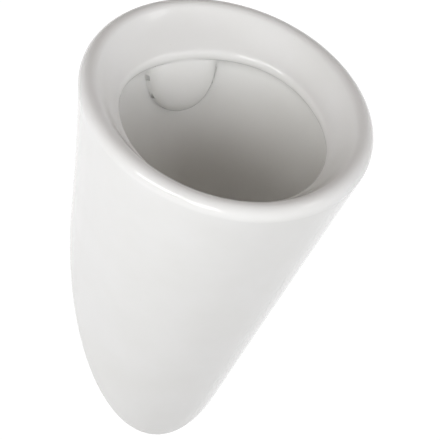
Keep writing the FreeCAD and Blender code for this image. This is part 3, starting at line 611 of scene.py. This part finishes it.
# %% Cutting bodies
WALL_T, SKIN_T, WALL_FLANGE, HOLLOW_TOP_DROP, BACK_T = 9.0, 10.5, 14.0, 12.0, 12.0
BACK_PLATE_LOW_Z, TRAP_Z, TRAP_BACK_Y = -95.0, -168.0, -32.0
COLLAR_R, COLLAR_BORE_R, COLLAR_BACK_Y = 26.0, 19.0, -61.5
PAD_MARGIN, CHAMBER_HALF_WIDTH, CHAMBER_DROP, CHAMBER_RISE, CHAMBER_FRONT_Y, CHAMBER_FULLNESS = (
    6.0, 35.0, 46.0, 4.0, -42.0, 2.3)
INLET_Z, INLET_HOLE_R = 108.0, 17.5
STUD_X, KEYHOLE_DROP, KEYHOLE_SLOT_R, KEYHOLE_ENTRY_R = 75.0, 27.0, 6.8, 12.0
SIDE_SLOTS = ((38.0, 13.0), (31.0, 35.0))     # across, and below the hood's widest level
SLOT_LENGTH, SLOT_WIDTH, SLOT_IN, SLOT_OUT = 6.0, 5.5, 16.0, 3.0
RINSE_SLOT_LENGTH = 26.0
PAST = 1.0             # how far a cutting body passes the face that it cuts
BEHIND_WALL, FUNNEL_RISE, PLATE_TOP_Z, OUTSIDE_ROWS = 5, 3, 200, 30
DOME_TURN, DOME_ROWS = 85, 14     # the chamber's dome ends in a small flat crown
GLAZED, UNGLAZED = 0, 1


def cutter(rings, surface):
    """A closed body from a stack of rings; surface is the finish it leaves behind."""
    made = piece("cutter", *skin(rings), [glaze, bare_china])
    made.data.polygons.foreach_set("material_index", [surface] * len(made.data.polygons))
    return made


def rod(radius, start, end, surface, points=64):
    """A round bar between two points."""
    start, end = np.array(start, float), np.array(end, float)
    along = unit((end - start)[None])[0]
    side = unit(np.cross(along, X if abs(along[0]) < 0.9 else Y)[None])[0]
    turn = np.linspace(0, 2 * math.pi, points, endpoint=False)
    circle = radius * (np.outer(np.cos(turn), side) + np.outer(np.sin(turn), np.cross(along, side)))
    return cutter([start + circle, end + circle], surface)


def block(low, high, surface):
    """A box between two corners."""
    corners = np.array([(low[0], low[1]), (high[0], low[1]),
                        (high[0], high[1]), (low[0], high[1])], float)
    return cutter([np.column_stack([corners, np.full(4, z)]) for z in (low[2], high[2])], surface)


def hood_oval(y, half_width, drop, rise, count=24):
    """The hood's outline at one level; its lower half is a little squarer than an ellipse."""
    a, b = quarter(count, HOOD_SQUARE)
    c, d = quarter(count, ELLIPSE)
    across = np.concatenate([a, -b, -c, d])
    upward = np.concatenate([-b * drop, -a * drop, d * rise, c * rise])
    return np.column_stack([across * half_width, np.full(len(across), y), HOOD_Z + upward])


def carve(body, cutters):
    """Cuts the cutters out of a body one by one, applies the result and deletes them."""
    for made in cutters:
        boolean = body.modifiers.new("carve", "BOOLEAN")
        boolean.solver, boolean.operation, boolean.object = "MANIFOLD", "DIFFERENCE", made
        boolean.material_mode = "INDEX"
        cut = body.evaluated_get(bpy.context.evaluated_depsgraph_get())
        solid = bpy.data.meshes.new_from_object(cut)
        body.modifiers.clear()
        body.data = solid
        bpy.data.objects.remove(made)


def every_fourth(points):
    """Fewer points of a ring, for the cutting bodies."""
    return points[::4]


def hollow_space():
    """Space between skirt and bowl, less the back plate, the hood's pad and the outlet collar."""
    edge = every_fourth(wall_oval(WALL_FLANGE))
    inner = ROLL_R - SKIN_T
    top = every_fourth(ring(RIM_CENTRE - RIM_UP * HOLLOW_TOP_DROP, ROLL_HALF_WIDTH + inner,
                            ROLL_HALF_LENGTH + inner, ROLL_HALF_LENGTH + inner, FORWARD))
    space = cutter([edge + Y * BEHIND_WALL, edge, top], UNGLAZED)
    funnel = [every_fourth(roll_line + RIM_UP * FUNNEL_RISE),
              every_fourth(bowl_oval(0, WALL_T) + RIM_UP * LIP_R)]
    outside = [every_fourth(bowl_oval(depth, WALL_T)) for depth in np.linspace(0, 1, OUTSIDE_ROWS)]
    pad = [hood_oval(y, HOOD_HALF_WIDTH + PAD_MARGIN, HOOD_DROP + PAD_MARGIN,
                     HOOD_RISE + PAD_MARGIN) for y in (PAST, HOOD_FRONT_Y)]
    well_y, wall_width = SUMP[1], ROLL_HALF_WIDTH + 2 * ROLL_R
    carve(space, [
        cutter(funnel + outside, UNGLAZED),
        cutter(pad, UNGLAZED),
        block((-wall_width, -BACK_T, BACK_PLATE_LOW_Z),
              (wall_width, BACK_T, PLATE_TOP_Z), UNGLAZED),
        rod(WELL_R + WALL_T, (0, well_y, WELL_FLOOR_Z - WALL_T), (0, well_y, SUMP[2]), UNGLAZED),
        rod(SUMP_R + WALL_T, (0, well_y, SUMP[2] - WALL_T), (0, well_y, SUMP[2] + PAST), UNGLAZED),
        rod(COLLAR_R, (0, well_y, TRAP_Z), (0, COLLAR_BACK_Y, TRAP_Z), UNGLAZED)])
    return space


def chamber_space():
    """The flush chamber in the hood, the inlet's hole, and the slots that let the water out."""
    inside = []
    for angle in np.radians(np.linspace(0, DOME_TURN, DOME_ROWS)):
        share = (1 - math.sin(angle) ** CHAMBER_FULLNESS) ** (1 / CHAMBER_FULLNESS)
        y = HOOD_ROOT_Y + (CHAMBER_FRONT_Y - HOOD_ROOT_Y) * math.sin(angle)
        inside.append(hood_oval(y, CHAMBER_HALF_WIDTH * share, CHAMBER_DROP * share,
                                CHAMBER_RISE * share))
    spaces = [cutter(inside, GLAZED),
              rod(INLET_HOLE_R, (0, HOOD_ROOT_Y - PAST, INLET_Z), (0, PAST, INLET_Z), GLAZED)]
    wall_y = bowl_oval(0)[BACK_MIDDLE, 1]
    for across, down in SIDE_SLOTS:
        back_y = wall_y - BOWL_HALF_LENGTH * (1 - math.sqrt(1 - (across / BOWL_HALF_WIDTH) ** 2))
        low = HOOD_Z - down - SLOT_LENGTH / 2
        for side in (1, -1):
            ends = sorted((side * (across - SLOT_IN), side * (across + SLOT_OUT)))
            spaces.append(block((ends[0], back_y - SLOT_WIDTH, low),
                                (ends[1], back_y, low + SLOT_LENGTH), GLAZED))
    low, high = HOOD_Z - HOOD_DROP, HOOD_Z - CHAMBER_DROP + SLOT_LENGTH
    spaces.append(block((-RINSE_SLOT_LENGTH / 2, wall_y - SLOT_WIDTH, low),
                        (RINSE_SLOT_LENGTH / 2, wall_y, high), GLAZED))
    return spaces


def keyhole(x):
    """A round entry that passes the sleeve's flange, and above it a slot for the sleeve."""
    front, behind = -BACK_T - PAST, PAST
    return [rod(KEYHOLE_ENTRY_R, (x, front, -KEYHOLE_DROP), (x, behind, -KEYHOLE_DROP), UNGLAZED),
            rod(KEYHOLE_SLOT_R, (x, front, 0), (x, behind, 0), UNGLAZED),
            block((x - KEYHOLE_SLOT_R, front, -KEYHOLE_DROP),
                  (x + KEYHOLE_SLOT_R, behind, 0), UNGLAZED)]


print("cutting bodies for the hollow, the chamber, the trap's bore and two keyholes")

# %% [markdown]
# ### Cutting the casting
# The rows become one closed body, glazed all over but for the flat face that stands against the
# wall. Then the hollows are cut out of it one by one, and each cut leaves its own finish behind:
# bare clay in the back and the keyholes, glaze where water runs. Separate walls could be joined
# instead, but they would leave seams that a casting doesn't have.

# %% The casting
casting = piece("casting", *skin(rows), [glaze, bare_china])
for face in casting.data.polygons:
    if len(face.vertices) > 4 and abs(face.center.y) < MM:
        face.material_index = UNGLAZED
spaces = [hollow_space(),
          rod(COLLAR_BORE_R, (0, SUMP[1], TRAP_Z), (0, TRAP_BACK_Y, TRAP_Z), GLAZED)]
spaces += chamber_space() + keyhole(STUD_X) + keyhole(-STUD_X)
carve(casting, spaces)
casting.data.polygons.foreach_set("use_smooth", [True] * len(casting.data.polygons))
casting.data.set_sharp_from_angle(angle=math.radians(SHARP_DEGREES))
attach(casting, "urinal")
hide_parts("ceramic_body")
print("casting:", len(casting.data.polygons), "faces")

# %% [markdown]
# ## Threads of the hanger studs
# The two studs are M8 threaded rod: a rolled 60 degree thread that climbs 1.25 mm a turn. A texture
# could fake it, but in silhouette the rod would stay smooth, so the thread is cut into the mesh.
# Each ring of points dips where the groove passes it, and the groove shifts a little from ring to
# ring, which winds it into a helix. The crests keep the radius of the solid. Both studs are one
# piece, because one node of the frame holds both.

# %% Threads
STUD_R, STUD_START, STUD_END, PITCH, THREAD_DEPTH = 4.0, -26.0, 58.0, 1.25, 0.77
THREAD_STEPS, THREAD_POINTS = 8, 32      # rings in one pitch, points in one ring
THREAD_RINGS = round((STUD_END - STUD_START) / PITCH * THREAD_STEPS) + 1


def threaded_rod(x):
    """A closed rod along y with a helical groove, and a small chamfer at each end."""
    turn = np.linspace(0, 2 * math.pi, THREAD_POINTS, endpoint=False)
    rings = []
    for y in np.linspace(STUD_START, STUD_END, THREAD_RINGS):
        groove = np.abs(2 * ((y / PITCH - turn / (2 * math.pi)) % 1) - 1)
        to_end = min(y - STUD_START, STUD_END - y)
        radius = np.minimum(STUD_R - THREAD_DEPTH * groove, STUD_R - THREAD_DEPTH + to_end)
        rings.append(np.column_stack([x + radius * np.cos(turn), np.full(THREAD_POINTS, y),
                                      radius * np.sin(turn)]))
    return skin(rings)


points, faces = threaded_rod(-STUD_X)
more_points, more_faces = threaded_rod(STUD_X)
faces += [tuple(i + len(points) for i in face) for face in more_faces]
studs = piece("stud_threads", np.concatenate([points, more_points]), faces, [zinc], smooth=50)
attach(studs, "urinal")
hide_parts("hanger_studs")
print("studs:", round((STUD_END - STUD_START) / PITCH), "turns of thread each")

# %% [markdown]
# ## Finishes on the other pieces
# The small pieces keep the solids of the frame. Each takes the finish of its slot in the record.

# %% Finishes on the nodes
slots = {part["node"]: part["material_slot"] for part in frame["record"]["subparts"]}
for name, node in nodes.items():
    for material_slot in node.material_slots:
        material_slot.material = FINISHES[slots[name]]
print("finished", len(slots), "nodes")

# %% [markdown]
# ## Light
# Glaze shows the lamps as much as it shows itself. A square box in front and to the left, like a
# window, is the strongest lamp. A long strip stands higher up on the left, and a soft box on the
# right opens the shade. The room adds an even glow up to 16 degrees above the horizon, which falls
# to a dim warm ceiling by 21 degrees. The lower strip on the left shows in mirrors only, for the
# gleam on the lip. For the camera, in mirrors and through glass the room is white at strength 1.

# %% Lamps
def lamp(name, place, size, power, toward=(0, -0.17, 0.05)):
    """A rectangular soft box that faces a point of the basin."""
    data = bpy.data.lights.new(name, "AREA")
    data.shape, data.size, data.size_y, data.energy = "RECTANGLE", size[0], size[1], power
    made = bpy.data.objects.new(name, data)
    made.location = place
    made.rotation_euler = (Vector(place) - Vector(toward)).to_track_quat("Z", "Y").to_euler()
    bpy.context.scene.collection.objects.link(made)
    return made


lamp("key", (-2.05, -1.0, 1.27), (1.5, 0.3), 4)
lamp("window", (-1.89, -2.42, 0.5), (1.2, 1.2), 23)
lamp("right", (1.59, -1.76, 1.35), (0.7, 1.0), 4)
glint = lamp("side_strip", (-2.1, -0.95, 0.78), (1.3, 0.22), 14)
glint.visible_diffuse = False     # only its mirror image in the glaze is wanted

world = bpy.data.worlds.new("room")
bpy.context.scene.world = world
world.use_nodes = True
WALL_GLOW, CEILING_GLOW = 1.97, 0.10
WALL_TOP, CEILING_START = 0.28, 0.36      # sine of the height above the horizon
background = world.node_tree.nodes["Background"]
rays = add(world, "LightPath")
mirrored = add(world, "Math",
               [(0, rays.outputs["Is Camera Ray"]), (1, rays.outputs["Is Glossy Ray"])],
               operation="MAXIMUM")
seen = add(world, "Math", [(0, mirrored.outputs[0]), (1, rays.outputs["Is Transmission Ray"])],
           operation="MAXIMUM")
way = add(world, "TexCoord")
height = add(world, "SeparateXYZ", [("Vector", way.outputs["Generated"])])
glow = add(world, "MapRange", [("Value", height.outputs["Z"])],
           **{"From_Min": WALL_TOP, "From_Max": CEILING_START,
              "To_Min": WALL_GLOW, "To_Max": CEILING_GLOW})
warmth = add(world, "MapRange", [("Value", height.outputs["Z"])],
             **{"From_Min": WALL_TOP, "From_Max": CEILING_START})
tone = add(world, "MixRGB", [("Fac", warmth.outputs["Result"])],
           Color1=linear("F8FAFF"), Color2=linear("FFE2D4"))
colour = add(world, "MixRGB", [("Fac", seen.outputs[0]), ("Color1", tone.outputs["Color"])],
             Color2=linear("FFFFFF"))
strength = add(world, "MapRange", [("Value", seen.outputs[0]), ("To Min", glow.outputs["Result"])],
               **{"To_Max": 1.0})
world.node_tree.links.new(strength.outputs["Result"], background.inputs["Strength"])
world.node_tree.links.new(colour.outputs["Color"], background.inputs["Color"])

# %% [markdown]
# ## Floor
# The background is plain white, as on a studio sweep, and the floor lies well below the tip of the
# basin. For the camera and in mirrors 0.82 of it is a glow of strength 1.22, which comes out as
# white, and the rest is paint that holds the shadow. For other rays nine tenths of it is pale grey
# paint, which sends less light up at the basin.

# %% The floor
FLOOR_Z, FLOOR_HALF = -584.0, 4000.0
FLOOR_GLOW, GLOW_UNSEEN, GLOW_SEEN = 1.22, 0.1, 0.82     # strength, then the glow's shares
corners = [(-FLOOR_HALF, -FLOOR_HALF, FLOOR_Z), (FLOOR_HALF, -FLOOR_HALF, FLOOR_Z),
           (FLOOR_HALF, FLOOR_HALF, FLOOR_Z), (-FLOOR_HALF, FLOOR_HALF, FLOOR_Z)]
paint = bpy.data.materials.new("white_floor_paint")
paint.use_nodes = True
shader = paint.node_tree.nodes["Principled BSDF"]
shader.inputs["Base Color"].default_value = linear("C8C8C8")
shader.inputs["Roughness"].default_value = 0.9
rays = add(paint, "LightPath")
bright = add(paint, "Emission", Color=linear("FFFFFF"), Strength=FLOOR_GLOW)
share = add(paint, "Math",
            [(0, rays.outputs["Is Camera Ray"]), (1, rays.outputs["Is Glossy Ray"])],
            operation="MAXIMUM")
weight = add(paint, "MapRange", [("Value", share.outputs[0])],
             **{"To_Min": GLOW_UNSEEN, "To_Max": GLOW_SEEN})
mixed = add(paint, "MixShader", [("Fac", weight.outputs["Result"])])
paint.node_tree.links.new(shader.outputs[0], mixed.inputs[1])
paint.node_tree.links.new(bright.outputs[0], mixed.inputs[2])
surface = paint.node_tree.nodes["Material Output"].inputs["Surface"]
paint.node_tree.links.new(mixed.outputs[0], surface)
floor = piece("floor", corners, [(0, 1, 2, 3)], [paint])
print("floor", round(-FLOOR_Z), "mm below the studs")
